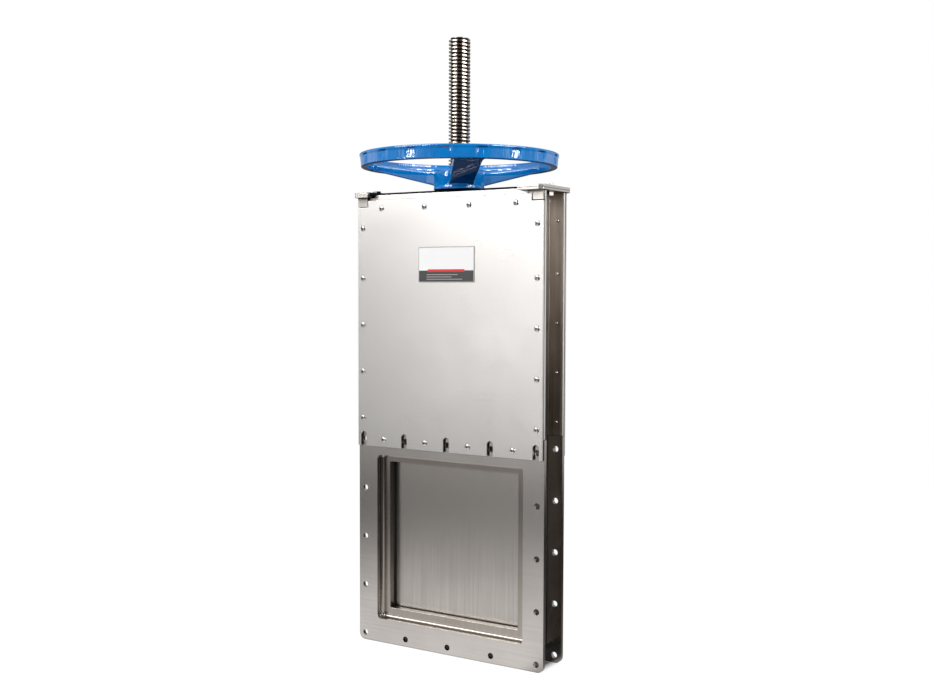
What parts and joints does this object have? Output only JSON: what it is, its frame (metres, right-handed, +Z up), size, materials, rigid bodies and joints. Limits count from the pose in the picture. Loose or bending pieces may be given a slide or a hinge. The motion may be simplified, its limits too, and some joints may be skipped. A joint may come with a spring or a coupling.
{
  "type": "slide gate valve",
  "caption": "Slide gate valve for a square duct, with bolted flanges, a sheet metal housing, a threaded rising stem and a blue three-spoke handwheel.",
  "frame": {"origin": "middle of the two flanges' bottom edges, in the gate's plane", "axes": "+Z up along the stem, +X along the flange faces to the right seen from the front, -Y out of the front flange along the duct"},
  "size_m": [0.434, 0.39, 1.2075],
  "materials": {
    "flange_steel": "brushed",
    "frame_steel": "brushed",
    "cover_steel": "fine brushed",
    "gate_steel": "upright grain",
    "lug_steel": "brushed",
    "bolt_steel": "machined",
    "stem_steel": "machined",
    "nut_bronze": "machined",
    "wheel_paint": "gloss",
    "seal_rubber": "matt",
    "packing_felt": "greased",
    "guide_plastic": "matt",
    "label_plastic": "gloss"
  },
  "bodies": {
    "valve_body": {"bottom_bar": "frame_steel", "bridge": "lug_steel", "front_cover": "cover_steel", "front_flange": "flange_steel", "front_gasket": "seal_rubber", "front_gland_bar": "frame_steel", "front_packing": "packing_felt", "front_port_frame": "flange_steel", "front_seat_seal": "seal_rubber", "front_top_rail": "frame_steel", "label_plate": "label_plastic", "left_channel": "frame_steel", "left_guide": "guide_plastic", "left_lug": "lug_steel", "lug_bolts": "bolt_steel", "rear_cover": "cover_steel", "rear_flange": "flange_steel", "rear_gasket": "seal_rubber", "rear_gland_bar": "frame_steel", "rear_packing": "packing_felt", "rear_port_frame": "flange_steel", "rear_seat_seal": "seal_rubber", "rear_top_rail": "frame_steel", "right_channel": "frame_steel", "right_guide": "guide_plastic", "right_lug": "lug_steel", "sill_seal": "seal_rubber"},
    "wheel": {"handwheel": "wheel_paint", "stem_nut": "nut_bronze", "wheel_key": "bolt_steel"},
    "gate_and_stem": {"gate": "gate_steel", "stem": "stem_steel", "cheek_pin": "bolt_steel"}
  },
  "joints": [
    {"name": "handwheel_turn", "type": "hinge", "parent": "valve_body", "child": "wheel", "pos_m": [0, 0, 0.95], "axis": [0, 0, 1], "range_deg": [0, 15942.86]},
    {"name": "gate_slide", "type": "slide", "parent": "valve_body", "child": "gate_and_stem", "axis": [0, 0, 1], "range_m": [0, 0.31]}
  ],
  "couplings": [
    {"joint": "gate_slide", "follows": "handwheel_turn", "m_per_rad": 0.0011141}
  ]
}
